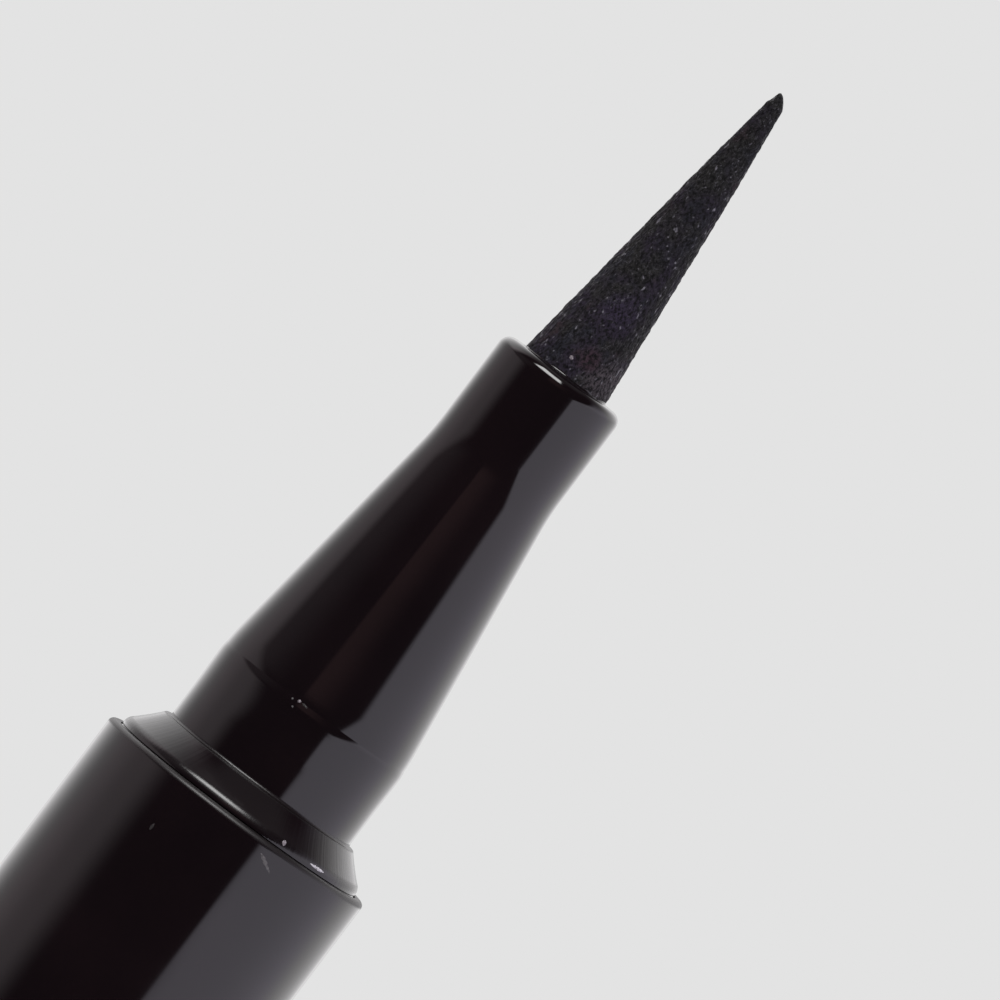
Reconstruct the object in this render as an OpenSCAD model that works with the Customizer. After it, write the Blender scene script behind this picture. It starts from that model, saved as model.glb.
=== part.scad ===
// Liquid eyeliner pen with a felt nib, standing upright on its cap, which is posted on the tail.
// The origin is the middle of the cap's closed end, and +Z runs along the pen to the nib's tip.

/* [Barrel] */
// Outside diameter of the barrel and the cap
barrel_d = 9.6; // [9.2:0.1:12]
// Length of the barrel tube
barrel_len = 86; // [70:1:110]
// Wall of the barrel tube
barrel_wall = 0.8; // [0.6:0.05:0.9]
// Wall left at the mouths of the barrel and the cap
mouth_wall = 0.35; // [0.25:0.05:0.45]
// Depth of the wider mouth at each end of the barrel
mouth_depth = 3.4; // [3:0.1:5]
// Rounding of the outer rims
rim_round = 0.15; // [0.05:0.01:0.2]

/* [Shoulder collar] */
// Height of the bead above the barrel's rim
bead_h = 0.21; // [0.15:0.01:0.4]
// Height of the collar's top above the barrel's rim
collar_h = 1.1; // [0.9:0.05:1.6]
// Width of the step from the collar's top edge to the neck
collar_lip = 0.19; // [0.12:0.01:0.3]
// Rounding of the bead and of the collar's top edge
collar_round = 0.15; // [0.05:0.01:0.18]

/* [Nose] */
// Diameter of the nose's neck and of the tail spigot
neck_d = 6.72; // [6:0.02:7]
// Height of the neck's end above the barrel's rim
neck_len = 3.85; // [3:0.05:5]
// Step at the neck's end, where the nose's base starts inside its edge
neck_step = 0.03; // [0.01:0.01:0.08]
// Length of the nose's straight base between the step and the cone
base_len = 0.35; // [0.35:0.05:1]
// Rounding where the base turns into the cone
base_round = 5; // [1:0.5:5]
// Wall of the neck round the ink duct
neck_wall = 0.76; // [0.6:0.02:0.9]
// Height of the nose's front face above the barrel's rim
nose_len = 16.53; // [15:0.01:19]
// Diameter of the nose's front cylinder
front_d = 4.4; // [4.1:0.05:4.9]
// Length of the nose's front cylinder
front_len = 3.7; // [2:0.1:5]
// Rounding of the nose's front edge
front_round = 0.28; // [0.1:0.02:0.35]
// Rounding where the cone runs into the front cylinder
blend_round = 9; // [2:0.5:12]
// Length of the close bore that guides the nib
guide_len = 6.1; // [5:0.1:7]

/* [Nose skirt] */
// Thickness of the flange that the collar holds down
flange_t = 1.2; // [0.8:0.1:1.6]
// Distance from the flange to the seal land
land_gap = 1; // [0.6:0.1:2]
// Length of the seal land
land_len = 2.6; // [2:0.1:4]
// Distance from the seal land to the collector's chamber
chamber_roof = 1; // [0.5:0.1:2]
// Air gap between the skirt and the barrel
skirt_gap = 0.4; // [0.2:0.05:0.5]
// Wall of the skirt
skirt_wall = 0.5; // [0.4:0.05:0.7]
// Length of the skirt behind the seal land
skirt_len = 13; // [8:0.5:20]

/* [Nib] */
// Diameter of the nib at the nose's front face
nib_d = 3; // [2.4:0.05:3.2]
// Length of the nib in front of the nose
nib_len = 10.8; // [8:0.1:12]
// Diameter of the nib's blunt tip
nib_tip_d = 0.4; // [0.3:0.05:1]
// Length of the nib's shank inside the nose
shank_len = 10.4; // [9:0.1:11]
// Rounding of the shank's rear edge
shank_round = 0.2; // [0.1:0.05:0.4]
// Depth of the wick's socket in the shank
wick_bite = 1.8; // [1:0.1:2.5]
// Wall of the retainer sleeve round the shank
retainer_wall = 0.4; // [0.3:0.02:0.45]
// Thickness of the retainer's rear lip
retainer_lip = 0.9; // [0.5:0.1:1.5]

/* [Feed] */
// Diameter of the feed wick
wick_d = 1.6; // [1.2:0.1:2]
// Length of the wick that stands in the tank
wick_tail = 2.5; // [1:0.5:6]
// Rounding of the wick's ends
wick_round = 0.3; // [0.1:0.05:0.5]
// Length of the collector's spigot in the nose
spigot_bite = 2.2; // [1.5:0.1:3]
// Wall of the collector's core round the wick
core_wall = 0.7; // [0.5:0.05:1]
// Thickness of one collector fin
fin_t = 0.25; // [0.15:0.01:0.3]
// Distance from one fin to the next
fin_pitch = 0.6; // [0.5:0.05:1.2]
// Width of the ink slot through the fins
ink_slot = 0.25; // [0.15:0.05:0.5]
// Width of the air notch in the fins
air_notch = 0.8; // [0.4:0.1:1.2]
// Depth of the air notch from the fins' edge
notch_depth = 0.8; // [0.4:0.1:1.2]

/* [Tank] */
// Wall of the ink tank
tank_wall = 0.7; // [0.5:0.05:0.9]
// Thickness of the flanges on the bulkhead and the tank plug
plug_flange = 0.95; // [0.6:0.05:1.5]
// Length of the bulkhead's boss in the skirt
bulkhead_boss = 2.4; // [1.5:0.1:4]
// Length of the bulkhead's plug in the tank
bulkhead_plug = 2.5; // [2:0.1:4]
// Diameter of the vent through the bulkhead
vent_d = 0.6; // [0.3:0.1:0.8]
// Length of the tank plug's stopper
stopper_len = 4; // [3:0.1:6]
// Diameter of the mixing ball
ball_d = 4; // [3:0.1:5]
// Depth of the dish that the ball rests in
dish_depth = 0.8; // [0.4:0.1:1.2]

/* [Seals] */
// Thickness of an O-ring across its groove
ring_t = 0.5; // [0.4:0.02:0.55]
// Width of an O-ring along the pen
ring_w = 0.7; // [0.6:0.02:0.9]

/* [Tail plug] */
// Length of the tail spigot from the barrel's rear rim
spigot_len = 9; // [8:0.1:9.5]
// Rounding of the spigot's end
spigot_round = 0.5; // [0.2:0.1:1]
// Length of the tail plug's grip in the barrel's bore
tail_grip = 2.4; // [1.5:0.1:4]
// Wall of the tail plug
tail_wall = 1.4; // [1:0.1:2]

/* [Cap] */
// Length of the cap
cap_len = 40; // [38:0.5:50]
// Thickness of the cap's closed end
cap_end_wall = 1.8; // [1.2:0.1:2.5]
// Wall of the cap's shell
cap_wall = 0.7; // [0.5:0.05:0.8]
// Rounding of the cap's closed end
cap_round = 0.6; // [0.3:0.1:1]
// Radial clearance of the cap sleeve on the neck and the spigot
cap_fit = 0.04; // [0.02:0.01:0.08]
// Room between the collar's top and the cap sleeve
collar_room = 0.1; // [0.05:0.05:0.3]
// Rounding of the cap sleeve's mouth
sleeve_round = 0.2; // [0.1:0.05:0.3]
// Thickness of the sleeve's stop rib
rib_t = 0.8; // [0.5:0.1:1.2]
// Gap between the stop rib and the nose's front cylinder
rib_gap = 0.4; // [0.3:0.05:0.5]

/* [Seal cup] */
// Radial clearance of the seal cup in the cap sleeve
cup_fit = 0.07; // [0.03:0.01:0.1]
// Travel that the nose gives the cup when the cap is put on
seal_press = 1.33; // [1:0.01:1.4]
// Thickness of the seal ring
seal_t = 0.7; // [0.5:0.05:1]
// Depth of the seal ring below the cup's rim
seal_sink = 0.45; // [0.3:0.05:0.6]
// Gap between the seal ring's pocket and the nose's front cylinder
pocket_gap = 0.55; // [0.4:0.05:0.6]
// Gap between the seal ring's hole and the nib
seal_room = 0.2; // [0.1:0.05:0.3]
// Gap between the cup's wall and the nib
nib_room = 0.3; // [0.2:0.05:0.4]
// Gap between the cup's floor and the nib's tip with the cap on
tip_room = 0.9; // [0.5:0.1:1.5]
// Length of the cup's guide in the sleeve
cup_guide = 5; // [4:0.1:8]
// Wall of the cup behind its guide
cup_wall = 0.85; // [0.6:0.05:1]
// Thickness of the cup's floor
cup_floor = 0.8; // [0.5:0.1:1.2]

/* [Cap spring] */
// Diameter of the spring's wire
wire_d = 0.4; // [0.3:0.02:0.5]
// Number of curls in the spring
curls = 7; // [5:1:9]
// Height of the bosses that centre the spring
boss_h = 0.9; // [0.5:0.1:1.5]

/* [Hidden] */
$fn = 96;

// Clearances and overrun
fit_gap = 0.03;
seat_gap = 0.02;
collar_gap = 0.05;
cap_seam = 0.1;
land_fit = 0.08;
groove_play = 0.1;
dish_play = 0.3;
ball_seat = 0.1;
cup_rest = 0.05;
spring_seat = 0.05;
boss_gap = 0.1;
overrun = 0.5;

// Counts of points on a rounded corner, and of rings and sides on the spring's wire
corner_steps = 6;
curl_rings = 8;
wire_sides = 6;

// Shares of a size that roundings take up
ring_round_share = 0.9;
tip_round_share = 0.9;
cavity_round_share = 0.8;

// Places of the barrel's two rims
tail_z = cap_len + cap_seam;
rim_z = tail_z + barrel_len;

// Radii of the barrel and the collar
barrel_r = barrel_d / 2;
bore_r = barrel_r - barrel_wall;
mouth_r = barrel_r - mouth_wall;
collar_r = mouth_r - collar_gap;
neck_r = neck_d / 2;
collar_top_r = neck_r + collar_lip;

// Radii inside the nose
nib_r = nib_d / 2;
nib_tip_r = nib_tip_d / 2;
front_r = front_d / 2;
guide_r = nib_r + fit_gap;
retainer_r = guide_r + retainer_wall;
holder_r = retainer_r + fit_gap;
duct_r = neck_r - neck_wall;
wick_r = wick_d / 2;
wick_hole_r = wick_r + fit_gap;
skirt_r = bore_r - skirt_gap;
chamber_r = skirt_r - skirt_wall;
core_r = wick_hole_r + core_wall;
fin_r = chamber_r - fit_gap;

// Radii of the tank, its stoppers and their seals
tank_r = bore_r - fit_gap;
tank_bore_r = tank_r - tank_wall;
stopper_r = tank_bore_r - land_fit;
land_r = bore_r - land_fit;
nose_ring_r = bore_r - seat_gap - ring_t;
stopper_ring_r = tank_bore_r - seat_gap - ring_t;
groove_w = ring_w + groove_play;
ball_r = ball_d / 2;
dish_r = ball_r + dish_play;
dish_angle = acos((dish_r - dish_depth) / dish_r);

// Heights above the barrel's front rim, from the nib back to the tail
nib_back = nose_len - shank_len;
guide_end = nose_len - guide_len;
retainer_end = nib_back - seat_gap - retainer_lip;
collector_top = retainer_end - seat_gap;
duct_top = collector_top - spigot_bite;
flange_top = flange_t - mouth_depth;
land_top = -mouth_depth - land_gap;
land_end = land_top - land_len;
land_mid = (land_top + land_end) / 2;
chamber_top = land_end - chamber_roof;
skirt_end = land_end - skirt_len;
bulkhead_top = skirt_end + bulkhead_boss;
bulkhead_face = skirt_end - seat_gap;
tank_top = bulkhead_face - plug_flange - seat_gap;
bulkhead_end = bulkhead_face - plug_flange - bulkhead_plug;
bulkhead_mid = tank_top - bulkhead_plug / 2;
tail_top = mouth_depth + tail_grip - barrel_len;
tank_end = tail_top + plug_flange + seat_gap + seat_gap;
stopper_top = tank_end + stopper_len;
stopper_mid = (tank_end + stopper_top) / 2;

// Places of the collector's fins
fins_top = chamber_top - fin_pitch;
collector_end = bulkhead_top + seat_gap;
fins = floor((fins_top - collector_end) / fin_pitch);

// Radii inside the cap
cap_bore_r = barrel_r - cap_wall;
sleeve_r = cap_bore_r - fit_gap;
sleeve_bore_r = neck_r + cap_fit;
rib_r = front_r + rib_gap;
cup_r = sleeve_bore_r - cup_fit;
pocket_r = front_r + pocket_gap;
cavity_r = nib_r + nib_room;
cup_back_r = cavity_r + cup_wall;
wire_r = wire_d / 2;
spring_r = cup_back_r - wire_r;
boss_r = spring_r * cos(180 / curl_rings) - wire_r - boss_gap;

// Depths behind the cap's mouth
cap_mouth = collar_h + collar_room;
cap_floor = cap_len - cap_end_wall;
seal_face = nose_len - seal_press;
cup_rim = seal_face - seal_sink;
seal_back = seal_face + seal_t;
rib_back = cup_rim - cup_rest;
rib_front = rib_back - rib_t;
cavity_end = nose_len + nib_len - seal_press + tip_room;
cup_end = cavity_end + cup_floor;

// Points of the spring's wire, ring after ring from its lower end
spring_low = cap_end_wall + spring_seat + wire_r;
spring_high = cap_len - cup_end - spring_seat - wire_r;
wire_rings = curls * curl_rings + 1;
wire_points = [for (i = [0:wire_rings - 1]) each wire_ring(i)];
wire_faces = concat(
    [for (s = [1:wire_sides - 2]) [0, s, s + 1]],
    [for (i = [0:wire_rings - 2], s = [0:wire_sides - 1]) each wire_quad(i, s)],
    [for (s = [1:wire_sides - 2]) [0, s + 1, s] + [1, 1, 1] * (wire_rings - 1) * wire_sides]
);
spring_gap = min([
    for (i = [0:wire_rings - 1 - curl_rings], a = wire_ring(i), b = wire_ring(i + curl_rings)) norm(a - b)
]);
echo("least gap of the spring to itself", spring_gap);

function wire_ring(i) =
    let(
        turn = 360 * i / curl_rings,
        height = spring_low + (spring_high - spring_low) * i / (wire_rings - 1)
    )
    [
        for (s = [0:wire_sides - 1])
            let(side = 360 * s / wire_sides, reach = spring_r + wire_r * cos(side))
            [reach * cos(turn), reach * sin(turn), height + wire_r * sin(side)]
    ];

// Two triangles between one ring of the wire and the next
function wire_quad(i, s) =
    let(
        a = i * wire_sides + s,
        b = i * wire_sides + (s + 1) % wire_sides,
        c = b + wire_sides,
        d = a + wire_sides
    )
    [[a, c, b], [a, d, c]];

function unit(v) = v / norm(v);

// Arc that rounds the corner p between its neighbours a and b
function corner(a, p, b, rounding) =
    let(
        u = unit(a - p),
        v = unit(b - p),
        half = acos(u * v) / 2,
        centre = p + unit(u + v) * rounding / sin(half),
        start = p + u * rounding / tan(half) - centre,
        first = atan2(start[1], start[0]),
        sweep = -sign(cross(u, v)) * (180 - 2 * half)
    )
    [
        for (i = [0:corner_steps])
            let(angle = first + sweep * i / corner_steps)
            centre + rounding * [cos(angle), sin(angle)]
    ];

// Outline of [radius, height] corners, where a third number rounds the corner
function softened(outline) =
    let(count = len(outline))
    [
        for (i = [0:count - 1])
            let(
                here = outline[i],
                before = outline[(i + count - 1) % count],
                after = outline[(i + 1) % count],
                p = [here[0], here[1]]
            )
            each is_undef(here[2]) ? [p] : corner([before[0], before[1]], p, [after[0], after[1]], here[2])
    ];

// Groove for an O-ring in a land of the given radius
function groove(outer, ring, middle) = [
    [outer, middle + groove_w / 2],
    [ring - fit_gap, middle + groove_w / 2],
    [ring - fit_gap, middle - groove_w / 2],
    [outer, middle - groove_w / 2]
];

// Frames: above the barrel's front rim, beyond its rear rim, and behind the cap's mouth
module from_front() {
    translate([0, 0, rim_z]) children();
}

module from_tail() {
    translate([0, 0, tail_z]) mirror([0, 0, 1]) children();
}

module from_cap() {
    translate([0, 0, cap_len]) mirror([0, 0, 1]) children();
}

module turned(outline) {
    rotate_extrude() polygon(softened(outline));
}

module o_ring(inner, middle) {
    outer = inner + ring_t;
    low = middle - ring_w / 2;
    high = middle + ring_w / 2;
    rounding = ring_round_share * ring_t / 2;
    turned([
        [inner, low, rounding],
        [outer, low, rounding],
        [outer, high, rounding],
        [inner, high, rounding]
    ]);
}

module felt_nib() {
    tip = nose_len + nib_len;
    socket_end = nib_back + wick_bite + seat_gap;
    color([0.09, 0.09, 0.1])
        from_front()
            turned([
                [0, tip],
                [nib_tip_r, tip, nib_tip_r * tip_round_share],
                [nib_r, nose_len],
                [nib_r, nib_back, shank_round],
                [wick_hole_r, nib_back],
                [wick_hole_r, socket_end],
                [0, socket_end]
            ]);
}

module nib_retainer() {
    color([0.8, 0.8, 0.78])
        from_front()
            turned([
                [guide_r, guide_end - seat_gap],
                [retainer_r, guide_end - seat_gap],
                [retainer_r, retainer_end],
                [wick_hole_r, retainer_end],
                [wick_hole_r, nib_back - seat_gap],
                [guide_r, nib_back - seat_gap]
            ]);
}

module nose_cone() {
    color([0.05, 0.05, 0.055])
        from_front()
            turned(concat(
                [
                    [guide_r, nose_len],
                    [front_r, nose_len, front_round],
                    [front_r, nose_len - front_len, blend_round],
                    [neck_r - neck_step, neck_len + base_len, base_round],
                    [neck_r - neck_step, neck_len],
                    [neck_r, neck_len],
                    [neck_r, flange_top],
                    [collar_r, flange_top],
                    [collar_r, seat_gap - mouth_depth],
                    [skirt_r, seat_gap - mouth_depth],
                    [skirt_r, land_top],
                    [land_r, land_top]
                ],
                groove(land_r, nose_ring_r, land_mid),
                [
                    [land_r, land_end],
                    [skirt_r, land_end],
                    [skirt_r, skirt_end],
                    [chamber_r, skirt_end],
                    [chamber_r, chamber_top],
                    [duct_r, chamber_top],
                    [duct_r, duct_top],
                    [holder_r, duct_top],
                    [holder_r, guide_end],
                    [guide_r, guide_end]
                ]
            ));
}

module shoulder_collar() {
    low = flange_top + seat_gap;
    color([0.06, 0.06, 0.065])
        from_front()
            turned([
                [neck_r + fit_gap, low],
                [collar_r, low],
                [collar_r, bead_h, collar_round],
                [collar_top_r, collar_h, collar_round],
                [neck_r + fit_gap, collar_h]
            ]);
}

module nose_o_ring() {
    color([0.15, 0.15, 0.15])
        from_front()
            o_ring(nose_ring_r, land_mid);
}

module feed_wick() {
    low = bulkhead_end - wick_tail;
    high = nib_back + wick_bite;
    color([0.2, 0.2, 0.22])
        from_front()
            turned([[0, low], [wick_r, low, wick_round], [wick_r, high, wick_round], [0, high]]);
}

module ink_collector() {
    color([0.75, 0.76, 0.78])
        from_front()
            difference() {
                turned(concat(
                    [
                        [wick_hole_r, collector_top],
                        [retainer_r, collector_top],
                        [retainer_r, duct_top],
                        [core_r, duct_top]
                    ],
                    [for (i = [0:fins - 1]) each fin_outline(fins_top - i * fin_pitch)],
                    [
                        [core_r, collector_end],
                        [wick_hole_r, collector_end]
                    ]
                ));
                translate([0, -ink_slot / 2, collector_end - overrun])
                    cube([fin_r + overrun, ink_slot, fins_top - collector_end + overrun]);
                translate([-fin_r - overrun, -air_notch / 2, collector_end - overrun])
                    cube([notch_depth + overrun, air_notch, fins_top - collector_end + overrun + overrun]);
            }
}

// One fin of the collector, from its upper face down
function fin_outline(top) = [
    [core_r, top],
    [fin_r, top],
    [fin_r, top - fin_t],
    [core_r, top - fin_t]
];

module tank_bulkhead() {
    flange_end = bulkhead_face - plug_flange;
    color([0.78, 0.79, 0.8])
        from_front()
            difference() {
                turned(concat(
                    [
                        [wick_hole_r, bulkhead_top],
                        [fin_r, bulkhead_top],
                        [fin_r, bulkhead_face],
                        [tank_r, bulkhead_face],
                        [tank_r, flange_end],
                        [stopper_r, flange_end]
                    ],
                    groove(stopper_r, stopper_ring_r, bulkhead_mid),
                    [
                        [stopper_r, bulkhead_end],
                        [wick_hole_r, bulkhead_end]
                    ]
                ));
                translate([(wick_hole_r + stopper_ring_r) / 2, 0, bulkhead_end - overrun])
                    cylinder(h = bulkhead_top - bulkhead_end + overrun + overrun, d = vent_d);
            }
}

module bulkhead_o_ring() {
    color([0.15, 0.15, 0.15])
        from_front()
            o_ring(stopper_ring_r, bulkhead_mid);
}

module ink_tank() {
    color([0.8, 0.82, 0.85])
        from_front()
            turned([
                [tank_bore_r, tank_end],
                [tank_r, tank_end],
                [tank_r, tank_top],
                [tank_bore_r, tank_top]
            ]);
}

module mixing_ball() {
    color([0.7, 0.7, 0.72])
        from_front()
            translate([0, 0, stopper_top - dish_depth + ball_seat + ball_r])
                sphere(r = ball_r);
}

module tank_plug() {
    dish_centre = stopper_top - dish_depth + dish_r;
    face = tank_end - seat_gap;
    color([0.78, 0.79, 0.8])
        from_front()
            turned(concat(
                [
                    for (i = [0:corner_steps])
                        let(angle = dish_angle * i / corner_steps)
                        [dish_r * sin(angle), dish_centre - dish_r * cos(angle)]
                ],
                [[stopper_r, stopper_top]],
                groove(stopper_r, stopper_ring_r, stopper_mid),
                [
                    [stopper_r, face],
                    [tank_r, face],
                    [tank_r, face - plug_flange],
                    [0, face - plug_flange]
                ]
            ));
}

module tank_plug_o_ring() {
    color([0.15, 0.15, 0.15])
        from_front()
            o_ring(stopper_ring_r, stopper_mid);
}

module barrel() {
    color([0.05, 0.05, 0.055])
        from_front()
            turned([
                [mouth_r, 0],
                [barrel_r, 0, rim_round],
                [barrel_r, -barrel_len, rim_round],
                [mouth_r, -barrel_len],
                [mouth_r, mouth_depth - barrel_len],
                [bore_r, mouth_depth - barrel_len],
                [bore_r, -mouth_depth],
                [mouth_r, -mouth_depth]
            ]);
}

module tail_plug() {
    grip_end = -mouth_depth - tail_grip;
    color([0.06, 0.06, 0.065])
        from_tail()
            turned([
                [0, spigot_len],
                [neck_r, spigot_len, spigot_round],
                [neck_r, collar_h],
                [collar_top_r, collar_h, collar_round],
                [collar_r, bead_h, collar_round],
                [collar_r, seat_gap - mouth_depth],
                [tank_r, seat_gap - mouth_depth],
                [tank_r, grip_end],
                [neck_r - tail_wall, grip_end],
                [neck_r - tail_wall, spigot_len - tail_wall],
                [0, spigot_len - tail_wall]
            ]);
}

module cap_shell() {
    color([0.05, 0.05, 0.055])
        from_cap()
            turned([
                [mouth_r, 0],
                [barrel_r, 0, rim_round],
                [barrel_r, cap_len, cap_round],
                [0, cap_len],
                [0, cap_floor - boss_h],
                [boss_r, cap_floor - boss_h],
                [boss_r, cap_floor],
                [cap_bore_r, cap_floor],
                [cap_bore_r, cap_mouth],
                [mouth_r, cap_mouth]
            ]);
}

module cap_sleeve() {
    color([0.82, 0.82, 0.8])
        from_cap()
            turned([
                [sleeve_bore_r, cap_mouth, sleeve_round],
                [sleeve_r, cap_mouth],
                [sleeve_r, cap_floor - seat_gap],
                [sleeve_bore_r, cap_floor - seat_gap],
                [sleeve_bore_r, rib_back],
                [rib_r, rib_back],
                [rib_r, rib_front],
                [sleeve_bore_r, rib_front]
            ]);
}

module seal_cup() {
    color([0.85, 0.85, 0.83])
        from_cap()
            turned([
                [pocket_r, cup_rim],
                [cup_r, cup_rim],
                [cup_r, cup_rim + cup_guide],
                [cup_back_r, cup_rim + cup_guide],
                [cup_back_r, cup_end],
                [boss_r, cup_end],
                [boss_r, cup_end + boss_h],
                [0, cup_end + boss_h],
                [0, cavity_end],
                [cavity_r, cavity_end, cavity_r * cavity_round_share],
                [cavity_r, seal_back + seat_gap],
                [pocket_r, seal_back + seat_gap]
            ]);
}

module seal_ring() {
    color([0.25, 0.25, 0.27])
        from_cap()
            turned([
                [nib_r + seal_room, seal_face],
                [pocket_r - fit_gap, seal_face],
                [pocket_r - fit_gap, seal_back],
                [nib_r + seal_room, seal_back]
            ]);
}

module cap_spring() {
    color([0.7, 0.7, 0.72])
        polyhedron(points = wire_points, faces = wire_faces);
}

felt_nib();
nib_retainer();
nose_cone();
shoulder_collar();
nose_o_ring();
feed_wick();
ink_collector();
tank_bulkhead();
bulkhead_o_ring();
ink_tank();
mixing_ball();
tank_plug();
tank_plug_o_ring();
barrel();
tail_plug();
cap_shell();
cap_sleeve();
seal_cup();
seal_ring();
cap_spring();
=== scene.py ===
"""Looks of a liquid eyeliner pen that stands on its posted cap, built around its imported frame."""
import math

import bpy
from mathutils import Matrix, Vector, noise
from mathutils.bvhtree import BVHTree


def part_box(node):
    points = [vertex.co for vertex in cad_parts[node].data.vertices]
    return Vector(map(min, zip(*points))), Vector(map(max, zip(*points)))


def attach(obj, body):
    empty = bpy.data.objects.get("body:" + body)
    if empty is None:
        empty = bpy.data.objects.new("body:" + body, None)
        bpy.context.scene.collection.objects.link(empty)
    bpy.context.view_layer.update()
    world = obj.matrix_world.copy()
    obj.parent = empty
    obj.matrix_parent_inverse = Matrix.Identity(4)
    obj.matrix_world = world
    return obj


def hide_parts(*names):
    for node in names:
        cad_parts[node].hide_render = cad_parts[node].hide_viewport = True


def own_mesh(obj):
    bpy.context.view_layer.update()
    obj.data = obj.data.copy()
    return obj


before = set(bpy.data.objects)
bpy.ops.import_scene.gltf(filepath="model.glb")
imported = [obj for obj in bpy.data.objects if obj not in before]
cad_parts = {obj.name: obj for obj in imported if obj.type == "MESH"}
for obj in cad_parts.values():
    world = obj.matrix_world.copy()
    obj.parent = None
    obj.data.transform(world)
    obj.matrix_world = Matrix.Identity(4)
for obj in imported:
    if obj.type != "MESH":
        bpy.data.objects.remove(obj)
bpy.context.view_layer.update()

# Lengths here are in millimetres, and meshes are made in metres
MM = 0.001


# Places and sizes that the frame gives
def low_z(node):
    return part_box(node)[0].z / MM


def high_z(node):
    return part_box(node)[1].z / MM


def radius(node):
    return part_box(node)[1].x / MM


tail_z = low_z("barrel")
rim_z = high_z("barrel")
cap_len = high_z("cap_shell")
barrel_len = rim_z - tail_z
barrel_r = radius("barrel")
collar_r = radius("shoulder_collar")
collar_h = high_z("shoulder_collar") - rim_z
nose_len = high_z("nose_cone") - rim_z
skirt_end = low_z("nose_cone") - rim_z
nib_r = radius("felt_nib")
nib_len = high_z("felt_nib") - high_z("nose_cone")
nib_end = low_z("felt_nib") - high_z("nose_cone")
spigot_len = tail_z - low_z("tail_plug")
tank_r = radius("ink_tank")
sleeve_r = radius("cap_sleeve")
sleeve_floor = cap_len - low_z("cap_sleeve")
cap_mouth = cap_len - high_z("cap_sleeve")

# Sizes of the barrel and the collar
mouth_wall = 0.35
barrel_wall = 0.8
mouth_depth = 3.4
rim_round = 0.18
bead_h = 0.235
bead_round = 0.38
seam_groove = 0.03
collar_round = 0.08
collar_lip = 0.19
collar_sag = 0.02
seat_gap = 0.02
fit_gap = 0.03
fillet_r = 0.1
fillet_lip = 0.004

# Sizes of the nose
neck_r = 3.36
neck_len = 3.85
neck_step = 0.02
ridge_h = 0.022
ridge_drop = 0.036
ridge_rise = 1.4
ridge_fall = 0.26
ridge_late = 0.075
base_len = 0.35
base_round = 7.0
front_r = 2.21
front_len = 3.7
front_round = 0.38
blend_round = 9.0
guide_len = 6.1
flange_t = 1.2
duct_wall = 0.76
duct_end = 3.09
retainer_r = 1.96
skirt_gap = 0.4
skirt_wall = 0.5
skirt_len = 13.0
chamber_roof = 1.0

# Sizes of the nib
nib_tip_r = 0.215
nib_shift = 0.03
nib_lean = 0.18
nib_swell = 0.035
shank_round = 0.2
socket_r = 0.83
socket_len = 1.82
ink_ring_r = 0.08

# Sizes of the tail plug and the cap
spigot_round = 0.5
tail_grip = 2.4
tail_wall = 1.4
cap_end_wall = 1.8
cap_wall = 0.7
cap_round = 0.6
sleeve_bore_r = 3.4
sleeve_round = 0.2
rib_r = 2.6
rib_t = 0.8
cup_rest = 0.05
boss_h = 0.9
boss_r = 1.96

# Fineness of the meshes
SIDES = 288
ARC_STEPS = 10
BRACE = 0.03
SHARP = math.radians(32)
SAME = 1e-6


# Outlines in (radius, height) pairs
def arc(before, point, after, rounding):
    """The points that round the corner at point between its neighbours."""
    p = Vector(point)
    u = (Vector(before) - p).normalized()
    v = (Vector(after) - p).normalized()
    half = math.acos(max(-1.0, min(1.0, u.dot(v)))) / 2
    centre = p + (u + v).normalized() * (rounding / math.sin(half))
    start = p + u * (rounding / math.tan(half)) - centre
    turn = -math.copysign(math.pi - 2 * half, u.x * v.y - u.y * v.x)
    first = math.atan2(start.y, start.x)
    angles = [first + turn * i / ARC_STEPS for i in range(ARC_STEPS + 1)]
    return [(centre.x + rounding * math.cos(a), centre.y + rounding * math.sin(a)) for a in angles]


def softened(corners):
    """A closed outline, in which a corner's third number is its rounding."""
    points = []
    for i, here in enumerate(corners):
        if len(here) == 2:
            points.append(tuple(here))
            continue
        before = corners[i - 1][:2]
        after = corners[(i + 1) % len(corners)][:2]
        points += arc(before, here[:2], after, here[2])
    return [point for i, point in enumerate(points) if math.dist(point, points[i - 1]) > SAME]


def braced(points):
    """The outline with a point close to each end of its long sides, which keeps their shading even."""
    made = []
    for i, a in enumerate(points):
        b = points[(i + 1) % len(points)]
        side = Vector(b) - Vector(a)
        made.append(a)
        if side.length > 4 * BRACE:
            near = side.normalized() * BRACE
            made.append((a[0] + near.x, a[1] + near.y))
            made.append((b[0] - near.x, b[1] - near.y))
    return made


def turned(name, outline, height, up=1):
    """A solid of revolution about Z. Outline heights count from the given height, upwards or downwards."""
    points = [(r, height + up * z) for r, z in outline]
    area = sum(a[0] * b[1] - b[0] * a[1] for a, b in zip(points, points[1:] + points[:1]))
    if area < 0:
        points.reverse()
    verts, rings = [], []
    for r, z in points:
        ring_sides = 1 if r < SAME else SIDES
        rings.append([len(verts) + k for k in range(ring_sides)])
        for k in range(ring_sides):
            turn = 2 * math.pi * k / SIDES
            verts.append((r * math.cos(turn) * MM, r * math.sin(turn) * MM, z * MM))
    faces = []
    for ring, following in zip(rings, rings[1:] + rings[:1]):
        if len(ring) == 1 and len(following) == 1:
            continue
        for k in range(SIDES):
            corners = [ring[k % len(ring)], ring[(k + 1) % len(ring)]]
            corners += [following[(k + 1) % len(following)], following[k % len(following)]]
            faces.append(list(dict.fromkeys(corners)))
    return mesh_object(name, verts, faces)


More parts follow.
